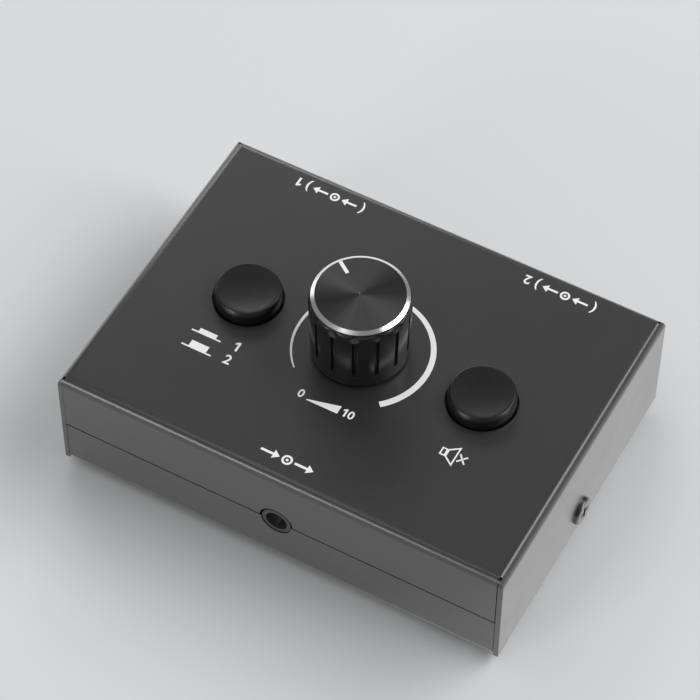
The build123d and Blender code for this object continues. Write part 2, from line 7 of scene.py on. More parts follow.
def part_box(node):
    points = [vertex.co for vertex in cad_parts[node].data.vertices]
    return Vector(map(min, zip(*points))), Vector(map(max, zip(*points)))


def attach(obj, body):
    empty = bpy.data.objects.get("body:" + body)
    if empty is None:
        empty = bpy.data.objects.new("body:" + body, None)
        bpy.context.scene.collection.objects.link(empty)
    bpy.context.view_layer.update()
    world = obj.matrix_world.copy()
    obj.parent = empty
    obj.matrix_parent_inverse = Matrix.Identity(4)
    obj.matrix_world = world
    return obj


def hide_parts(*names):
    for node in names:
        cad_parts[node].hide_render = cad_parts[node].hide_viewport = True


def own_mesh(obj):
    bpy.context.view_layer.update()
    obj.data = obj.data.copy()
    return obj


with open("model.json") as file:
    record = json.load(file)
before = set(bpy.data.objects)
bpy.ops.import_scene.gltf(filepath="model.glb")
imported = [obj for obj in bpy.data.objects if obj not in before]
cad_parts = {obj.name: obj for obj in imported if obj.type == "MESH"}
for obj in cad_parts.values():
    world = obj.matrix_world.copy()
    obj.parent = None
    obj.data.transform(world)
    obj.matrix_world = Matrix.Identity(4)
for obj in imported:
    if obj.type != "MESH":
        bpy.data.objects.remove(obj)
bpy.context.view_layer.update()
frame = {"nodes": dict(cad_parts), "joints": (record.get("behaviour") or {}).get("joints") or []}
mm = 0.001


# ---------------------------------------------------------------- table, camera and light
# The switch stands on a plain pale table in a small studio, seen from above its front right
# corner. A large soft box behind it to the right gives the main light, five weaker ones stand
# round it, and the room's own even light fills the rest.
camera_turn, camera_rise, camera_roll = 28.426, 53.38, 0.465    # in degrees
camera = bpy.data.objects.new("camera", bpy.data.cameras.new("camera"))
bpy.context.scene.collection.objects.link(camera)
camera.data.sensor_width = 36
camera.data.lens = 163.05
camera.data.clip_start = 0.01
camera.location = (0.16040, -0.30158, 0.48519)
camera.rotation_euler = (
    Matrix.Rotation(radians(camera_turn), 3, "Z")
    @ Matrix.Rotation(radians(90 - camera_rise), 3, "X")
    @ Matrix.Rotation(radians(camera_roll), 3, "Z")
).to_euler()
bpy.context.scene.camera = camera


def set_inputs(node, **values):
    """Set inputs of a shader node by name, with an underscore for each blank in the name."""
    for name, value in values.items():
        node.inputs[name.replace("_", " ")].default_value = value
    return node


def new_finish(name):
    """A new material with its nodes, its links and its shader."""
    finish = bpy.data.materials.new(name)
    finish.use_nodes = True
    nodes = finish.node_tree.nodes
    return finish, nodes, finish.node_tree.links, nodes["Principled BSDF"]


bpy.ops.object.select_all(action="DESELECT")
bpy.ops.mesh.primitive_plane_add(size=4)
table = bpy.context.active_object
table.name = "table"
table_finish, nodes, links, table_shader = new_finish("pale_table")
set_inputs(table_shader, Base_Color=(0.74, 0.75, 0.76, 1), Roughness=0.7)

# painted reflection: polished faces see the table glow nearly white behind the switch, and darker in
# front of it, by a share of white glow set by place
painted_table_glow = set_inputs(nodes.new("ShaderNodeEmission"), Strength=1)
table_ray = nodes.new("ShaderNodeLightPath")
table_place = nodes.new("ShaderNodeTexCoord")
painted_glow_side = nodes.new("ShaderNodeVectorMath")
painted_glow_side.operation = "DOT_PRODUCT"
painted_glow_side.inputs[1].default_value = (0.45, 1, 0)
# the painted glow's share falls from the back and right of the table to its front and left
painted_glow_fall = set_inputs(nodes.new("ShaderNodeMapRange"),
                        From_Min=-0.028, From_Max=-0.008, To_Min=0.30, To_Max=0.95)
painted_glow_share = nodes.new("ShaderNodeMath")
painted_glow_share.operation = "MULTIPLY"
table_look = nodes.new("ShaderNodeMixShader")
links.new(table_place.outputs["Object"], painted_glow_side.inputs[0])
links.new(painted_glow_side.outputs["Value"], painted_glow_fall.inputs["Value"])
links.new(painted_glow_fall.outputs["Result"], painted_glow_share.inputs[1])
links.new(table_ray.outputs["Is Glossy Ray"], painted_glow_share.inputs[0])
links.new(painted_glow_share.outputs["Value"], table_look.inputs["Fac"])
links.new(table_shader.outputs["BSDF"], table_look.inputs[1])
links.new(painted_table_glow.outputs["Emission"], table_look.inputs[2])
links.new(table_look.outputs["Shader"], nodes["Material Output"].inputs["Surface"])
table.data.materials.append(table_finish)

world = bpy.data.worlds.new("room")
world.use_nodes = True
set_inputs(world.node_tree.nodes["Background"], Color=(1, 1, 1, 1), Strength=0.22)
bpy.context.scene.world = world

# each soft box faces the switch: its place, width and height in metres, and its power in watts
for name, place, width, height, power in (
        ("right_soft_box", (0.87, 0.57, 1.08), 1.5, 0.7, 15),
        ("left_soft_box", (-1.23, 0.52, 0.35), 0.8, 0.35, 1.2),
        ("back_soft_box", (-0.76, 1.02, 0.77), 0.9, 0.4, 4.0),
        ("front_soft_box", (-0.48, -1.14, 0.36), 0.5, 0.3, 3.9),
        ("low_soft_box", (1.36, 0.20, 0.36), 0.35, 0.2, 2.6),
        ("top_soft_box", (-0.36, -0.28, 1.38), 1.1, 0.55, 2.6)):
    lamp = bpy.data.objects.new(name, bpy.data.lights.new(name, "AREA"))
    lamp.data.shape = "RECTANGLE"
    lamp.data.size = width
    lamp.data.size_y = height
    lamp.data.energy = power
    lamp.location = place
    lamp.rotation_euler = (-Vector(place)).to_track_quat("-Z", "Y").to_euler()
    bpy.context.scene.collection.objects.link(lamp)

bpy.context.scene.view_settings.view_transform = "Standard"


# ---------------------------------------------------------------- bottom cover
# The lower half of the case is a tray of 1 mm steel sheet with its front and back walls and
# two screw lugs folded up. Both covers are powder coated in a fine satin black before they
# are put together.
merge_reach, flat_angle = 0.001 * mm, 0.4


def pick_only(piece):
    """Leave one piece picked and active, so that the next tools work on it alone."""
    bpy.ops.object.select_all(action="DESELECT")
    piece.select_set(True)
    bpy.context.view_layer.objects.active = piece


def smooth_bends(piece, angle):
    """Shade the active piece smooth over bends up to an angle, and keep its flat faces flat."""
    bpy.ops.object.shade_smooth_by_angle(angle=radians(angle))
    flat_faces = piece.modifiers.new("flat_faces", "WEIGHTED_NORMAL")
    flat_faces.keep_sharp = True
    bpy.ops.object.modifier_apply(modifier="flat_faces")


def merged_copy(node, name, soft_angle):
    """A copy of a CAD node's mesh with its triangles joined up and its bends smooth."""
    piece = bpy.data.objects.new(name, frame["nodes"][node].data.copy())
    bpy.context.scene.collection.objects.link(piece)
    piece.data.materials.clear()
    pick_only(piece)
    bpy.ops.mesh.customdata_custom_splitnormals_clear()
    bpy.ops.object.mode_set(mode="EDIT")
    bpy.ops.mesh.select_all(action="SELECT")
    bpy.ops.mesh.remove_doubles(threshold=merge_reach)
    bpy.ops.mesh.dissolve_limited(angle_limit=radians(flat_angle))
    bpy.ops.object.mode_set(mode="OBJECT")
    smooth_bends(piece, soft_angle)
    return piece


def grain_group():
    """The fine unevenness of a moulded, coated or cast skin, and the faint smudges on it."""
    group = bpy.data.node_groups.new("skin_grain", "ShaderNodeTree")
    face = group.interface
    for name in ("Grains per metre", "Smudges per metre"):
        face.new_socket(name, in_out="INPUT", socket_type="NodeSocketFloat")
    for name in ("Height", "Tone", "Smudge"):
        face.new_socket(name, in_out="OUTPUT", socket_type="NodeSocketFloat")
    nodes, links = group.nodes, group.links
    ins, outs = nodes.new("NodeGroupInput"), nodes.new("NodeGroupOutput")
    place = nodes.new("ShaderNodeTexCoord")
    grains = set_inputs(nodes.new("ShaderNodeTexNoise"), Detail=3, Roughness=0.6)
    pits = nodes.new("ShaderNodeTexVoronoi")
    smudges = set_inputs(nodes.new("ShaderNodeTexNoise"), Detail=4, Distortion=0.6)
    both = nodes.new("ShaderNodeMath")
    both.operation = "MULTIPLY_ADD"
    both.inputs[1].default_value = 0.5
    for texture, scale in ((grains, "Grains"), (pits, "Grains"), (smudges, "Smudges")):
        links.new(place.outputs["Object"], texture.inputs["Vector"])
        links.new(ins.outputs[f"{scale} per metre"], texture.inputs["Scale"])
    links.new(pits.outputs["Distance"], both.inputs[0])
    links.new(grains.outputs["Fac"], both.inputs[2])
    links.new(both.outputs["Value"], outs.inputs["Height"])
    links.new(grains.outputs["Fac"], outs.inputs["Tone"])
    links.new(smudges.outputs["Fac"], outs.inputs["Smudge"])
    return group


skin_grain = grain_group()


def vary_colour(nodes, links, shader, tone, dark, light):
    """Let a tone that changes over the surface pick the colour between a dark and a light one."""
    colour = nodes.new("ShaderNodeMix")
    colour.data_type = "RGBA"
    set_inputs(colour, A=(*dark, 1), B=(*light, 1))
    links.new(tone, colour.inputs["Factor"])
    links.new(colour.outputs["Result"], shader.inputs["Base Color"])


def vary_gloss(nodes, links, shader, spots, roughness, change, low=0.0, high=1.0):
    """Let spots on the surface, from low to high, move its roughness by a change in all."""
    gloss = set_inputs(nodes.new("ShaderNodeMapRange"), From_Min=low, From_Max=high,
                       To_Min=roughness - change / 2, To_Max=roughness + change / 2)
    links.new(spots, gloss.inputs["Value"])
    links.new(gloss.outputs["Result"], shader.inputs["Roughness"])


def vary_height(nodes, links, shader, height, depth):
    """Let a height that changes over the surface raise it by up to a depth in mm."""
    bump = set_inputs(nodes.new("ShaderNodeBump"), Distance=depth * mm, Strength=1)
    links.new(height, bump.inputs["Height"])
    links.new(bump.outputs["Normal"], shader.inputs["Normal"])


def grained_finish(name, dark, light, roughness, grain, depth, smudge=0.06, smudges=90, **steady):
    """A finish whose tone, gloss and height follow the skin grain. Grain and depth in mm."""
    finish, nodes, links, shader = new_finish(name)
    set_inputs(shader, **steady)
    skin = nodes.new("ShaderNodeGroup")
    skin.node_tree = skin_grain
    set_inputs(skin, Grains_per_metre=1000 / grain, Smudges_per_metre=smudges)
    vary_colour(nodes, links, shader, skin.outputs["Tone"], dark, light)
    vary_gloss(nodes, links, shader, skin.outputs["Smudge"], roughness, smudge, 0.3, 0.7)
    vary_height(nodes, links, shader, skin.outputs["Height"], depth)
    return finish


coat = grained_finish("satin_black_coat", (0.012, 0.012, 0.012), (0.021, 0.021, 0.021), 0.42,
                      grain=0.32, depth=0.018, smudge=0.05, Coat_Weight=0.88, Coat_Roughness=0.26)

bottom_cover = merged_copy("bottom_cover", "coated_bottom_cover", 35)
bottom_cover.data.materials.append(coat)
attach(bottom_cover, "case")
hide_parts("bottom_cover")


# ---------------------------------------------------------------- rubber feet
# Four round feet are moulded in black rubber with a rounded rim, and are stuck under the
# corners of the tray by their self-adhesive backs.
rubber = grained_finish("foot_rubber", (0.018, 0.018, 0.018), (0.032, 0.031, 0.030), 0.72,
                        grain=0.25, depth=0.010, smudge=0.12)
feet = merged_copy("rubber_feet", "stuck_rubber_feet", 40)
feet.data.materials.append(rubber)
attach(feet, "case")
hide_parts("rubber_feet")


# ---------------------------------------------------------------- standoffs and circuit board
# Four nickel plated brass standoffs are swaged into the tray's floor. The board of green
# glass fibre lies on them under four zinc plated M3 screws with thin heads.
def finish_nodes(finish, *nodes):
    """Give a finish to CAD nodes that are shown as they are."""
    for node in nodes:
        frame["nodes"][node].data.materials.clear()
        frame["nodes"][node].data.materials.append(finish)


nickel = grained_finish("nickel_plate", (0.60, 0.57, 0.50), (0.72, 0.69, 0.62), 0.24,
                        grain=0.30, depth=0.002, Metallic=1.0)
standoffs = merged_copy("board_standoffs", "swaged_standoffs", 35)
standoffs.data.materials.append(nickel)
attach(standoffs, "case")
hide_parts("board_standoffs")

mask = grained_finish("green_solder_mask", (0.008, 0.085, 0.040), (0.014, 0.125, 0.060), 0.30,
                      grain=0.9, depth=0.010, smudge=0.10, Coat_Weight=0.3)
finish_nodes(mask, "circuit_board")

zinc = grained_finish("bright_zinc_plate", (0.50, 0.51, 0.54), (0.66, 0.67, 0.70), 0.30,
                      grain=0.20, depth=0.003, Metallic=1.0)
board_screws = merged_copy("board_screws", "board_low_screws", 35)
board_screws.data.materials.append(zinc)
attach(board_screws, "case")
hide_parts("board_screws")


# ---------------------------------------------------------------- jacks
# Three 3.5 mm jacks are moulded in black plastic, with contact leaves of tinned bronze in their
# side pockets, and soldered to the board. Their noses come out through the joint line, and each
# nose is bored out at its mouth.
jacks = (("front_jack", -1), ("rear_jack_1", 1), ("rear_jack_2", 1))   # each with its way along y
mouth_radius, mouth_depth, axis_height = 2.15, 2.6, 3.0
overrun = 1     # how far cutting tools start outside a piece


def drill(radius, start, way, depth, sides=64):
    """A round drill from a starting point along one axis, in mm."""
    way = Vector(way)
    bpy.ops.object.select_all(action="DESELECT")
    bpy.ops.mesh.primitive_cylinder_add(
        vertices=sides, radius=radius * mm, depth=depth * mm,
        location=(Vector(start) + way * depth / 2) * mm,
        rotation=way.to_track_quat("Z", "Y").to_euler())
    bpy.ops.object.transform_apply(location=True, rotation=True, scale=True)
    return bpy.context.active_object


def join_all(pieces):
    """Join pieces into the first one."""
    pick_only(pieces[0])
    for piece in pieces[1:]:
        piece.select_set(True)
    if len(pieces) > 1:
        bpy.ops.object.join()
    return pieces[0]


def cut(piece, tools):
    """Cut a piece with tools that stand clear of each other, and clear them away."""
    tool = join_all(tools)
    pick_only(piece)
    cutting = piece.modifiers.new("cutting", "BOOLEAN")
    cutting.object = tool
    cutting.solver = "EXACT"
    bpy.ops.object.modifier_apply(modifier="cutting")
    bpy.data.objects.remove(tool)


jack_moulding = grained_finish("black_jack_moulding", (0.030, 0.030, 0.031), (0.045, 0.045, 0.046),
                               0.42, grain=0.22, depth=0.004, smudge=0.10)
tin = grained_finish("tinned_bronze", (0.62, 0.62, 0.63), (0.80, 0.80, 0.81), 0.28,
                     grain=0.35, depth=0.003, Metallic=1.0)
for jack, way in jacks:
    housing = merged_copy(f"{jack}_housing", f"{jack}_moulding", 35)
    low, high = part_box(f"{jack}_housing")
    nose_end = max(way * low.y, way * high.y) / mm
    cut(housing, [drill(mouth_radius, ((low.x + high.x) / 2 / mm, way * (nose_end + overrun),
                                       low.z / mm + axis_height), (0, -way, 0), mouth_depth + overrun)])
    bpy.ops.object.shade_smooth_by_angle(angle=radians(35))
    housing.data.materials.append(jack_moulding)
    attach(housing, "case")
    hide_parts(f"{jack}_housing")
    finish_nodes(tin, f"{jack}_contacts")


# ---------------------------------------------------------------- volume potentiometer
# Two gangs of brown phenolic with carbon tracks stand on the board under a sheet frame. A
# die-cast zinc collar carries the thread, and the plain aluminium spindle runs in it.
phenolic = grained_finish("brown_phenolic", (0.085, 0.045, 0.020), (0.140, 0.080, 0.038), 0.50,
                          grain=0.30, depth=0.006)
carbon = grained_finish("carbon_film", (0.012, 0.012, 0.012), (0.022, 0.022, 0.022), 0.55,
                        grain=0.10, depth=0.002)
cast = grained_finish("cast_zinc", (0.42, 0.42, 0.44), (0.55, 0.55, 0.57), 0.38,
                      grain=0.30, depth=0.006, Metallic=1.0)
bright_aluminium = grained_finish("bright_aluminium", (0.70, 0.71, 0.72), (0.82, 0.83, 0.84), 0.28,
                                  grain=0.18, depth=0.002, Metallic=1.0)
finish_nodes(phenolic, "pot_lower_wafer", "pot_upper_wafer", "pot_wipers")
finish_nodes(carbon, "pot_tracks")
finish_nodes(tin, "pot_leads")
finish_nodes(zinc, "pot_frame")
for node, name, body, slot, finish in (
        ("pot_bushing", "cast_bushing", "case", "zinc_cast", cast),
        ("pot_washer", "zinc_washer", "case", "zinc_steel", zinc),
        ("pot_nut", "crowned_nut", "case", "nickel_brass", nickel),
        ("pot_spindle", "turned_spindle", "knob", "spindle_aluminium", bright_aluminium)):
    part = merged_copy(node, name, 35)
    part.data.materials.append(finish)
    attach(part, body)
    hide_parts(node)


# ---------------------------------------------------------------- push switches
# Two square latching switches stand on the board, each with a white plunger in a black moulding
# and two rows of tinned leads. A wire spring stands under each plunger; in the switch it shortens by the
# button's whole travel when pressed, here it keeps the length of its CAD node and stays with the case.
white_plastic = grained_finish("white_plunger_plastic", (0.70, 0.69, 0.65), (0.80, 0.79, 0.75), 0.42,
                               grain=0.25, depth=0.004)
spring_wire = grained_finish("spring_wire", (0.55, 0.55, 0.57), (0.68, 0.68, 0.70), 0.26,
                             grain=0.08, depth=0.002, Metallic=1.0)
joints = {joint["name"]: joint for joint in frame["joints"]}
for side in ("select", "mute"):
    finish_nodes(jack_moulding, f"{side}_switch_housing")
    finish_nodes(white_plastic, f"{side}_switch_plunger")
    finish_nodes(tin, f"{side}_switch_leads")
    spring = merged_copy(f"{side}_switch_spring", f"{side}_return_spring", 60)
    spring.data.materials.append(spring_wire)
    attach(spring, "case")
    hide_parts(f"{side}_switch_spring")
    low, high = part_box(f"{side}_switch_spring")
    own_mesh(spring)


# ---------------------------------------------------------------- top cover
# The upper half is one steel blank folded down on all four sides, with slits and round relief
# holes where its bends meet. It closes on the tray along the front and back joint lines.
panel_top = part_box("top_cover_panel")[1].z
cover_high = panel_top / mm
cover_right, cover_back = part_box("top_cover_right")[1].x / mm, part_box("top_cover_rear")[1].y / mm
cover_low, flange_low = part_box("top_cover_right")[0].z / mm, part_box("top_cover_front")[0].z / mm
steel, bend, rim_round, rim_angle = 1.0, 2.0, 0.12, 50
inside_x, inside_y = cover_right - steel, cover_back - steel
right_slit, left_slit, relief = 0.16, 0.05, 0.28
joint_line = 0.12       # how much the joint line opens above the flanges' lower edges
jack_drop = 0.08        # the jacks' axes below those edges
spare = 0.005           # left on the side sheets when the room between them is cleared
slit_lap = 0.2          # how far the slits cut into the corners
nut_hole, button_hole, screw_hole, jack_hole = 3.65, 6.6, 1.7, 3.35    # radii
hole_depth, relief_depth = 3, 4


def block(low, high):
    """A block between two corners, in mm."""
    bpy.ops.object.select_all(action="DESELECT")
    middle = [(a + b) / 2 * mm for a, b in zip(low, high)]
    bpy.ops.mesh.primitive_cube_add(size=1, location=middle)
    piece = bpy.context.active_object
    piece.scale = [(b - a) * mm for a, b in zip(low, high)]
    bpy.ops.object.transform_apply(location=True, rotation=True, scale=True)
    return piece


def pick_parts(piece, kind, wanted):
    """Go into edit mode with only those points, edges or faces picked that the test accepts."""
    if bpy.context.mode != "OBJECT":
        bpy.ops.object.mode_set(mode="OBJECT")
    pick_only(piece)
    bpy.ops.object.mode_set(mode="EDIT")
    bpy.ops.mesh.select_mode(type=kind)
    bpy.ops.mesh.select_all(action="DESELECT")
    bpy.ops.object.mode_set(mode="OBJECT")
    mesh = piece.data
    for part in {"VERT": mesh.vertices, "EDGE": mesh.edges, "FACE": mesh.polygons}[kind]:
        part.select = wanted(part)
    bpy.ops.object.mode_set(mode="EDIT")


def ends(piece, edge):
    """The two end points of a piece's edge."""
    return [piece.data.vertices[n].co for n in edge.vertices]


# the blank is folded from a block that loses its floor and gets the steel's thickness inwards
top_cover = block((-cover_right, -cover_back, cover_low), (cover_right, cover_back, cover_high))
top_cover.name = "folded_top_cover"
pick_parts(top_cover, "EDGE",
           lambda edge: min(end.z for end in ends(top_cover, edge)) / mm > cover_high - 0.01)
bpy.ops.mesh.bevel(offset=bend * mm, segments=8, affect="EDGES")
pick_parts(top_cover, "FACE", lambda face: face.normal.z < -0.9)
bpy.ops.mesh.delete(type="FACE")
bpy.ops.object.mode_set(mode="OBJECT")
wall = top_cover.modifiers.new("wall", "SOLIDIFY")
wall.thickness = steel * mm
wall.offset = -1
wall.use_even_offset = True
bpy.ops.object.modifier_apply(modifier="wall")

# holes for the bushing's nut, the buttons, the side screws and the jacks
axis_x, axis_y, _ = joints["knob_turn"]["pos_m"]
screw_low, screw_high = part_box("side_screws")
screw_z = (screw_low.z + screw_high.z) / 2 / mm
holes = [drill(nut_hole, (axis_x / mm, axis_y / mm, cover_high + overrun), (0, 0, -1), hole_depth)]
for side in ("select", "mute"):
    low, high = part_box(f"{side}_button_cap")
    holes.append(drill(button_hole, ((low.x + high.x) / 2 / mm, (low.y + high.y) / 2 / mm,
                                     cover_high + overrun), (0, 0, -1), hole_depth, 96))
for way in (-1, 1):
    holes.append(drill(screw_hole, (way * (cover_right + overrun), 0, screw_z), (-way, 0, 0),
                       hole_depth, 48))
for jack, way in jacks:
    low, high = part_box(f"{jack}_housing")
    holes.append(drill(jack_hole, ((low.x + high.x) / 2 / mm, way * (cover_back + overrun),
                                   flange_low - jack_drop), (0, -way, 0), hole_depth))
cut(top_cover, holes)
bpy.ops.object.mode_set(mode="EDIT")
bpy.ops.mesh.select_all(action="DESELECT")
bpy.ops.mesh.select_mode(type="EDGE")
bpy.ops.mesh.edges_select_sharp(sharpness=radians(rim_angle))
bpy.ops.mesh.bevel(offset=rim_round * mm, segments=3, affect="EDGES", clamp_overlap=True)
bpy.ops.object.mode_set(mode="OBJECT")

# the front and back walls are cut off at the joint line, and slit along the side walls
cut(top_cover, [block((spare - inside_x, -2 * cover_back, cover_low - overrun),
                      (inside_x - spare, 2 * cover_back, flange_low + joint_line))])
slits = []
for x_way, slit in ((1, right_slit), (-1, left_slit)):
    for y_way in (-1, 1):
        first, last = sorted((x_way * (inside_x - slit), x_way * (inside_x - spare)))
        front, back = sorted((y_way * (inside_y - slit_lap), y_way * (cover_back + overrun)))
        slits.append(block((first, front, flange_low - 2), (last, back, cover_high - steel)))
cut(top_cover, slits)
cut(top_cover, [drill(relief, (x_way * inside_x, y_way * inside_y, cover_high + overrun), (0, 0, -1),
                      relief_depth, 32) for x_way in (-1, 1) for y_way in (-1, 1)])
smooth_bends(top_cover, 35)
top_cover.data.materials.append(coat)
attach(top_cover, "case")
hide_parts("top_cover_panel", "top_cover_front", "top_cover_rear", "top_cover_left",
            "top_cover_right")


# ---------------------------------------------------------------- side screws
# One M3 screw on each side, in black nickel plated steel with a thin, cross-recessed head, holds
# the top cover to the tray's lug.
black_nickel = grained_finish("black_nickel_plate", (0.13, 0.13, 0.13), (0.19, 0.19, 0.19), 0.30,
                              grain=0.20, depth=0.003, Metallic=1.0)
side_screws = merged_copy("side_screws", "side_low_screws", 35)
side_screws.data.materials.append(black_nickel)
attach(side_screws, "case")
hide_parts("side_screws")


# ---------------------------------------------------------------- printed marks
# The marks on the top panel are screen printed in one pass of white ink, a few hundredths of
# a millimetre thick: the volume scale, the two button marks and the signs of the sockets.
ink_thickness = 0.025 * mm
ink = grained_finish("white_ink", (0.90, 0.90, 0.90), (0.97, 0.97, 0.97), 0.45,
                     grain=0.12, depth=0.003, smudge=0.08)


def ring_outline(x, y, radius, steps=48):
    """Points round a circle."""
    return [(x + radius * cos(radians(360 * n / steps)), y + radius * sin(radians(360 * n / steps)))
            for n in range(steps)]


def bar_outline(left, low, right, high):
    """The corners of an upright bar."""
    return [(left, low), (right, low), (right, high), (left, high)]


def stroke_outline(start, end, width=0.3):
    """The outline of a straight stroke between two points."""
    along = Vector((end[0] - start[0], end[1] - start[1])).normalized() * width / 2
    across = Vector((-along.y, along.x))
    a, b = Vector(start), Vector(end)
    return [tuple(a + across), tuple(a - across), tuple(b - across), tuple(b + across)]


def arrow_outline(left, middle, right, half, shaft):
    """An arrow that points right, with a solid head."""
    neck = right - 1.35 * half
    return [(left, middle - shaft), (neck, middle - shaft), (neck, middle - half),
            (right, middle), (neck, middle + half), (neck, middle + shaft), (left, middle + shaft)]


def one_outline(left, low, height, way=1):
    """A plain figure 1 with a flag. Way -1 turns it upside down about its lower left corner."""
    stem, edge, flag = 0.24 * height, 0.45 * height, 0.74 * height
    points = [(stem, 0), (edge, 0), (edge, height), (stem + 0.04 * height, height),
              (0, flag + 0.08 * height), (0, flag - 0.10 * height), (stem, flag)]
    return [(left + way * x, low + way * y) for x, y in points]


def lay_ink(shape):
    """Turn a filled flat shape into a mesh, printed on the panel."""
    pick_only(shape)
    bpy.ops.object.convert(target="MESH")
    bpy.ops.object.transform_apply(location=True, rotation=True, scale=True)
    bpy.ops.object.mode_set(mode="EDIT")
    bpy.ops.mesh.select_all(action="SELECT")
    bpy.ops.mesh.remove_doubles(threshold=merge_reach)
    bpy.ops.mesh.normals_make_consistent(inside=False)
    bpy.ops.object.mode_set(mode="OBJECT")
    return shape


def printed_shapes(name, outlines):
    """Closed outlines filled with ink; an outline inside another one leaves a hole."""
    curve = bpy.data.curves.new(name, "CURVE")
    curve.dimensions = "2D"
    curve.fill_mode = "BOTH"
    curve.extrude = ink_thickness / 2
    for outline in outlines:
        spline = curve.splines.new("POLY")
        spline.points.add(len(outline) - 1)
        for point, (x, y) in zip(spline.points, outline):
            point.co = (x * mm, y * mm, 0, 1)
        spline.use_cyclic_u = True
    shape = bpy.data.objects.new(name, curve)
    bpy.context.scene.collection.objects.link(shape)
    shape.location.z = panel_top + ink_thickness / 2
    return lay_ink(shape)


def printed_text(name, text, left, low, height, bold=0.018, turned=False):
    """A plain character, fitted to a height, with its lower left corner placed."""
    bpy.ops.object.select_all(action="DESELECT")
    bpy.ops.object.text_add()
    shape = bpy.context.active_object
    shape.name = name
    shape.data.body = text
    shape.data.offset = bold
    bpy.context.view_layer.update()
    corners = [Vector(c) for c in shape.bound_box]
    low_x, low_y = min(c.x for c in corners), min(c.y for c in corners)
    size = height * mm / (max(c.y for c in corners) - low_y)
    shape.data.extrude = ink_thickness / 2 / size
    shape.scale = (size, size, size)
    way = -1 if turned else 1
    shape.rotation_euler.z = pi if turned else 0
    shape.location = (left * mm - way * low_x * size, low * mm - way * low_y * size,
                      panel_top + ink_thickness / 2)
    return lay_ink(shape)


def one_print(name, pieces):
    """Join the shapes of one print and fix it to the case."""
    mark = join_all(pieces)
    mark.name = name
    mark.data.materials.clear()
    mark.data.materials.append(ink)
    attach(mark, "case")


# volume scale: an arc round the knob that widens clockwise, from the lower left to the right, and
# whose thin first part stands a little further out
scale_x, scale_y, scale_radius = -0.2, 0.0, 12.8
scale_start, scale_sweep, arc_steps = 228, 276, 140
thin_sweep, thin_shift, thin_width, more_width = 46, 0.3, 0.26, 0.96
inner_edge, outer_edge = [], []
for step in range(arc_steps + 1):
    share = step / arc_steps
    turn = radians(scale_start - scale_sweep * share)
    middle = scale_radius + thin_shift * max(0.0, 1 - share * scale_sweep / thin_sweep)
    half = (thin_width + more_width * share ** 0.7) / 2
    for edge, radius in ((inner_edge, middle - half), (outer_edge, middle + half)):
        edge.append((scale_x + radius * cos(turn), scale_y + radius * sin(turn)))
one_print("volume_scale", [printed_shapes("volume_arc", [outer_edge + inner_edge[::-1]])])

# volume range: a wedge from 0 to 10
line, figure = -14.95, 1.75
one_print("volume_range", [
    printed_shapes("volume_wedge", [[(-3.6, line), (2.7, line), (2.7, -13.15), (-3.6, -14.75)],
                                    one_outline(3.4, line, figure)]),
    printed_text("volume_low", "0", -5.6, line, figure),
    printed_text("volume_high", "0", 4.55, line, figure)])

# source button: two signs of a button, let out and pressed in, with their numbers
figure = 2.1
one_print("source_marks", [
    printed_shapes("button_signs", [
        bar_outline(-29.4, -11.35, -23.4, -11.05), bar_outline(-28.1, -11.05, -24.5, -10.2),
        bar_outline(-29.45, -14.95, -23.35, -14.65), bar_outline(-28.1, -14.65, -24.5, -13.25),
        one_outline(-20.75, -11.75, figure)]),
    printed_text("source_two", "2", -20.95, -15.05, figure)])

# mute button: a loudspeaker in outline, crossed out
one_print("mute_mark", [printed_shapes("mute_sign", [
    bar_outline(22.55, -13.8, 23.70, -12.1), bar_outline(22.83, -13.52, 23.42, -12.38),
    [(23.70, -12.1), (25.67, -10.7), (25.67, -15.2), (23.70, -13.8)],
    [(23.98, -12.28), (25.39, -11.25), (25.39, -14.65), (23.98, -13.62)],
    stroke_outline((26.02, -12.05), (27.55, -13.81)),
    stroke_outline((27.55, -12.10), (26.79, -12.96)),
    stroke_outline((26.70, -13.06), (26.05, -13.81))])])

# front socket: an arrow into a socket and one out of it
line = -27.95
one_print("front_socket_sign", [printed_shapes("front_sign", [
    arrow_outline(-5.4, line, -1.6, 0.95, 0.24),
    *(ring_outline(-0.1, line, radius) for radius in (1.03, 0.62, 0.27)),
    arrow_outline(1.4, line, 5.2, 0.95, 0.24)])])

# rear sockets: the same sign between brackets, and the socket's number, read from behind
line, figure_line, figure, bracket_line, bracket = 28.4, 29.45, 2.05, 29.9, 2.8
sign_width, socket_shift, figure_shift, bracket_shift = 14.6, 1.1, 1.35, 3.2
gap, reach, half, shaft = 1.45, 4.6, 0.85, 0.22
for number, left in (("1", -30.1), ("2", 18.0)):
    right = left + sign_width
    centre = (left + right) / 2 + socket_shift
    shapes = [[(2 * centre - x, y) for x, y in outline] for outline in (
        arrow_outline(centre - reach, line, centre - gap, half, shaft),
        arrow_outline(centre + gap, line, centre + reach, half, shaft))]
    shapes += [ring_outline(centre, line, radius) for radius in (0.95, 0.57, 0.25)]
    texts = [printed_text(name, text, x, bracket_line, bracket, 0.015, turned=True) for name, text, x in (
        ("opening_bracket", "(", right), ("closing_bracket", ")", left + bracket_shift))]
    if number == "1":
        shapes.append(one_outline(left + figure_shift, figure_line, figure, -1))
    else:
        texts.append(printed_text("socket_number", number, left + figure_shift, figure_line, figure,
                                  turned=True))
    one_print(f"rear_socket_{number}_sign", [printed_shapes("rear_sign", shapes)] + texts)


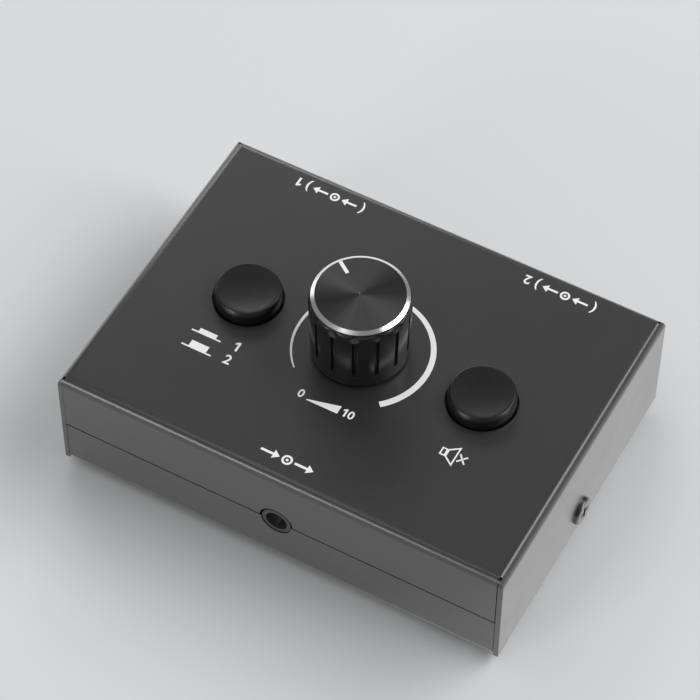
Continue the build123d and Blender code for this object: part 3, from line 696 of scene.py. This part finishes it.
# ---------------------------------------------------------------- volume knob
# The knob is a hollow moulding of polished black plastic, tapered a little to its lower edge.
# Fourteen round-ended grooves stand round it, and over each of them the upper edge is dished
# by a finger scoop that faces up and outwards.
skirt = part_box("knob_body")[0].z / mm
base_radius, mould_radius, mould_height = 9.0, 9.35, 14.85
inner_radius, boss_radius, bore_radius = 7.5, 4.6, 3.02
roof_depth, boss_rise = 2.2, 3.8
roof, boss_end = skirt + mould_height - roof_depth, skirt + boss_rise
cap_seat, seat_depth = 6.05, 0.85
edge_round, base_inset, top_inset = 0.45, 0.44, 0.46
groove_count, groove_low, groove_high, groove_share = 14, 2.8, 13.2, 0.92
groove_step = 360 / groove_count
knob_sides = 5 * groove_count
index_turn, groove_turn = 55, 5.4
scoop_ball, scoop_depth, scoop_height = 2.6, 0.5, 14.7
near = 0.02     # how closely a ring's points are found, in mm


def turned_piece(name, profile, sides, x, y):
    """A piece drawn out on the lathe from ring to ring. The profile is (radius, height) in mm."""
    (radius, height), *rest = profile
    bpy.ops.object.select_all(action="DESELECT")
    bpy.ops.mesh.primitive_circle_add(vertices=sides, radius=radius * mm, fill_type="NOTHING",
                                      location=(x, y, height * mm))
    piece = bpy.context.active_object
    piece.name = name
    bpy.ops.object.transform_apply(location=True, rotation=True, scale=True)
    bpy.ops.object.mode_set(mode="EDIT")
    bpy.ops.mesh.select_all(action="SELECT")
    for next_radius, next_height in rest:
        bpy.ops.mesh.extrude_region_move(
            TRANSFORM_OT_translate={"value": (0, 0, (next_height - height) * mm)})
        if next_radius:
            share = next_radius / radius
            bpy.ops.transform.resize(value=(share, share, 1), center_override=(x, y, 0))
        else:
            bpy.ops.mesh.merge(type="CENTER")
        radius, height = next_radius, next_height
    bpy.ops.mesh.select_all(action="SELECT")
    bpy.ops.mesh.normals_make_consistent(inside=False)
    bpy.ops.object.mode_set(mode="OBJECT")
    return piece


def knob_radius(height):
    """The tapered outer wall's radius at a height above the lower edge."""
    return base_radius + (mould_radius - base_radius) * height / mould_height


def corner(radius, height, size, start, steps):
    """A rounded corner of a profile, from a centre, as a quarter of a ring."""
    return [(radius + size * cos(radians(start + 90 * n / steps)),
             height + size * sin(radians(start + 90 * n / steps))) for n in range(steps + 1)]


# the profile runs from the bore's end down inside, round the lower edge and up to the cap's seat
outer_heights = (1.2, groove_low - 0.35, groove_low, groove_low + 0.5, 5.5, 8.5, 11.0, 12.5,
                 groove_high, 13.55, 13.95)
upper_edge = corner(mould_radius - top_inset, mould_height - edge_round, edge_round, 0, 3)
knob_profile = [(bore_radius, roof), (bore_radius, boss_end), (boss_radius, boss_end),
                (boss_radius, roof), (inner_radius, roof), (inner_radius, skirt)]
knob_profile += corner(base_radius - base_inset, skirt + edge_round, edge_round, -90, 4)
knob_profile += [(knob_radius(h), skirt + h) for h in outer_heights]
knob_profile += [(r, skirt + h) for r, h in upper_edge]
knob_profile += [(cap_seat, skirt + mould_height), (cap_seat, skirt + mould_height - seat_depth),
                 (0, skirt + mould_height - seat_depth)]
knob = turned_piece("moulded_knob", knob_profile, knob_sides, axis_x, axis_y)


def from_axis(point):
    """A point's distance from the knob's axis and its turn from the nearest groove's middle."""
    x, y = (point.x - axis_x) / mm, (point.y - axis_y) / mm
    turn = degrees(atan2(y, x)) - index_turn - groove_turn
    return hypot(x, y), abs((turn + groove_step / 2) % groove_step - groove_step / 2)


def outside(point, low, high, reach):
    """Is a point on the outer wall between two heights, no further than reach from a groove?"""
    radius, turn = from_axis(point)
    return radius > inner_radius + 0.5 and low < point.z / mm - skirt < high and turn < reach


# turn the rings so that each groove gets one row of faces to itself
pick_only(knob)
knob.data.transform(Matrix.Translation((axis_x, axis_y, 0))
                    @ Matrix.Rotation(radians(index_turn + groove_turn + 180 / knob_sides - 90), 4, "Z")
                    @ Matrix.Translation((-axis_x, -axis_y, 0)))
axis = (axis_x, axis_y, 0)

# finger scoops: ring by ring, the points beside each groove's middle move in to a ball's surface
ball_centre = knob_radius(scoop_height) + scoop_ball - scoop_depth
for radius, height in [(knob_radius(h), h) for h in outer_heights if h > groove_high] + upper_edge:
    for column in (0.5, 1.5):
        turn = column * 360 / knob_sides
        across = radius * sin(radians(turn))
        dished = ball_centre - (scoop_ball ** 2 - across ** 2 - (height - scoop_height) ** 2) ** 0.5
        share = dished / cos(radians(turn)) / radius
        if share <= 0.999:
            pick_parts(knob, "VERT", lambda point: (
                outside(point.co, height - near, height + near, turn + 1)
                and from_axis(point.co)[1] > turn - 1
                and abs(from_axis(point.co)[0] - radius) < near))
            bpy.ops.transform.resize(value=(share, share, 1), center_override=axis)

# grooves: their faces are set in from the edge and pushed towards the axis
pick_parts(knob, "FACE", lambda face: outside(face.center, groove_low, groove_high, 2))
bpy.ops.mesh.inset(thickness=0.02 * mm, use_even_offset=True)
bpy.ops.mesh.extrude_region_move(TRANSFORM_OT_translate={"value": (0, 0, 0)})
bpy.ops.transform.resize(value=(groove_share, groove_share, 1), center_override=axis)

# the turned inside keeps its corners, and the bore's end is closed
pick_parts(knob, "EDGE", lambda edge: (
    abs(ends(knob, edge)[0].z - ends(knob, edge)[1].z) < 0.01 * mm
    and all(from_axis(end)[0] < inner_radius + 0.2 for end in ends(knob, edge))))
bpy.ops.transform.edge_crease(value=1)
pick_parts(knob, "EDGE", lambda edge: all(
    abs(from_axis(end)[0] - bore_radius) < 0.01 and abs(end.z / mm - roof) < 0.01
    for end in ends(knob, edge)))
bpy.ops.mesh.edge_face_add()
bpy.ops.object.mode_set(mode="OBJECT")
rounding = knob.modifiers.new("rounding", "SUBSURF")
rounding.levels = rounding.render_levels = 2
bpy.ops.object.modifier_apply(modifier="rounding")
bpy.ops.object.shade_smooth_by_angle(angle=radians(50))

polish = grained_finish("polished_black_plastic", (0.010, 0.010, 0.011), (0.014, 0.014, 0.015), 0.21,
                        grain=0.6, depth=0.0015, smudge=0.06, smudges=140)
knob.data.materials.append(polish)
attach(knob, "knob")
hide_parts("knob_body")


# ---------------------------------------------------------------- knob cap
# A disc of dark anodised aluminium with a spun face is glued into the knob. Its edge is cut
# bright afterwards, and a shallow slot in it is filled with white paint as the index line.
cap = merged_copy("knob_cap", "spun_knob_cap", 25)
cap_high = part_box("knob_cap")[1]
cap_radius, cut_width = 8.90, 0.70
index_width, index_length, index_gap = 0.70, 2.95, 0.02
slot_depth, slot_gap, paint_drop, paint_edge = 0.12, 0.04, 0.015, 0.02


def spun_finish(name, dark, light, roughness, ring_depth, anisotropic):
    """Metal turned on a lathe: fine rings about the knob's axis, a grain that runs round, and painted
    sheen in streaks that fan out from the axis.
    """
    finish, nodes, links, shader = new_finish(name)
    set_inputs(shader, Metallic=1, Anisotropic=anisotropic, Anisotropic_Rotation=0.25)
    place = nodes.new("ShaderNodeTexCoord")
    centred = set_inputs(nodes.new("ShaderNodeMapping"), Location=(-axis_x, -axis_y, 0), Scale=(1, 1, 0))
    distance = nodes.new("ShaderNodeVectorMath")
    distance.operation = "LENGTH"
    rings = nodes.new("ShaderNodeTexNoise")
    rings.noise_dimensions = "1D"
    set_inputs(rings, Scale=9000, Detail=2)
    direction = nodes.new("ShaderNodeVectorMath")
    direction.operation = "NORMALIZE"
    # painted sheen: the colour goes lighter and darker in streaks round the axis, in place of the spun
    # face's highlights
    painted_streaks = set_inputs(nodes.new("ShaderNodeTexNoise"), Scale=2.2, Detail=3)
    round_axis = nodes.new("ShaderNodeTangent")
    round_axis.direction_type = "RADIAL"
    round_axis.axis = "Z"
    links.new(place.outputs["Object"], centred.inputs["Vector"])
    links.new(centred.outputs["Vector"], distance.inputs[0])
    links.new(centred.outputs["Vector"], direction.inputs[0])
    links.new(distance.outputs["Value"], rings.inputs["W"])
    links.new(direction.outputs["Vector"], painted_streaks.inputs["Vector"])
    links.new(round_axis.outputs["Tangent"], shader.inputs["Tangent"])
    vary_colour(nodes, links, shader, painted_streaks.outputs["Fac"], dark, light)
    vary_gloss(nodes, links, shader, rings.outputs["Fac"], roughness, 0.06)
    vary_height(nodes, links, shader, rings.outputs["Fac"], ring_depth)
    return finish


# each finish's two colours are the dark and light ends of its painted sheen streaks
cap.data.materials.append(spun_finish("dark_spun_aluminium", (0.07, 0.07, 0.07), (0.12, 0.12, 0.12),
                                      0.32, 0.0012, 0.78))
cap.data.materials.append(spun_finish("bright_cut_aluminium", (0.80, 0.80, 0.81), (0.88, 0.88, 0.89),
                                      0.22, 0.0008, 0.5))
# the cap's slanted edge is the bright cut
for face in cap.data.polygons:
    slanted = 0.2 < face.normal.z < 0.97 and from_axis(face.center)[0] > cap_radius - cut_width
    face.material_index = 1 if slanted else 0
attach(cap, "knob")
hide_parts("knob_cap")


def index_block(name, width, length, low, high):
    """A block that lies along the index line, from just inside the cap's bright edge."""
    middle = cap_radius - cut_width - index_length / 2 - index_gap
    bar = block((-width / 2, middle - length / 2, low), (width / 2, middle + length / 2, high))
    bar.name = name
    bar.data.transform(Matrix.Translation((axis_x, axis_y, cap_high.z))
                       @ Matrix.Rotation(radians(index_turn), 4, "Z"))
    return bar


# the slot of the index line, and the white paint in it
cut(cap, [index_block("index_slot", index_width + slot_gap, index_length + slot_gap, -slot_depth, 0.5)])
bpy.ops.object.shade_smooth_by_angle(angle=radians(25))
index_line = index_block("index_line", index_width, index_length, -slot_depth, -paint_drop)
pick_only(index_line)
bpy.ops.object.mode_set(mode="EDIT")
bpy.ops.mesh.select_all(action="SELECT")
bpy.ops.mesh.bevel(offset=paint_edge * mm, segments=2, affect="EDGES")
bpy.ops.object.mode_set(mode="OBJECT")
index_line.data.materials.append(ink)
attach(index_line, "knob")


# ---------------------------------------------------------------- push button caps
# The two caps are moulded in satin black plastic with a rounded shoulder and a shallow finger
# dish, and are pressed on the plungers. A collar keeps them under the panel.
cap_plastic = grained_finish("satin_button_plastic", (0.004, 0.004, 0.004), (0.006, 0.006, 0.006), 0.32,
                             grain=0.5, depth=0.0015, smudge=0.05, smudges=120)
button_radius, button_inside, button_roof = 6.3, 5.1, 1.6
collar, collar_low, collar_high = 0.9, 1.7, 2.7     # how far it stands out, and its heights
slope, lean = 1.8, 40                               # the shoulder's radius, and its lean in degrees
edge, lip, dish, dish_rings = 0.25, 0.12, 0.36, 12
rim = button_radius - slope * (1 - cos(radians(lean))) - edge * cos(radians(lean))
dish_rim = rim - lip
ball = (dish_rim ** 2 + dish ** 2) / (2 * dish)
for side in ("select", "mute"):
    low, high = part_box(f"{side}_button_cap")
    x, y = (low.x + high.x) / 2, (low.y + high.y) / 2
    top, bottom = high.z / mm, low.z / mm
    profile = [(button_inside, top - button_roof), (button_inside, bottom), (button_radius, bottom),
               (button_radius, bottom + collar_low), (button_radius + collar, bottom + collar_low),
               (button_radius + collar, bottom + collar_high), (button_radius, bottom + collar_high)]
    start = top - edge + edge * sin(radians(lean)) - slope * sin(radians(lean))
    profile += [(button_radius - slope + slope * cos(radians(turn)), start + slope * sin(radians(turn)))
                for turn in range(0, lean, 5)]
    profile += [(rim + edge * cos(radians(turn)), top - edge + edge * sin(radians(turn)))
                for turn in range(lean, 91, 10)]
    for n in range(dish_rings):
        radius = dish_rim * (1 - n / dish_rings)
        profile.append((radius, top - dish + ball - (ball ** 2 - radius ** 2) ** 0.5))
    profile.append((0, top - dish))
    cap_piece = turned_piece(f"{side}_finger_cap", profile, 96, x, y)

    # the hollow's open end ring gets its ceiling
    bpy.ops.object.mode_set(mode="EDIT")
    bpy.ops.mesh.select_all(action="DESELECT")
    bpy.ops.mesh.select_mode(type="EDGE")
    bpy.ops.mesh.select_non_manifold()
    bpy.ops.mesh.edge_face_add()
    bpy.ops.mesh.select_all(action="SELECT")
    bpy.ops.mesh.normals_make_consistent(inside=False)
    bpy.ops.object.mode_set(mode="OBJECT")
    bpy.ops.object.shade_smooth_by_angle(angle=radians(40))
    cap_piece.data.materials.append(cap_plastic)
    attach(cap_piece, f"{side}_button")
    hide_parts(f"{side}_button_cap")
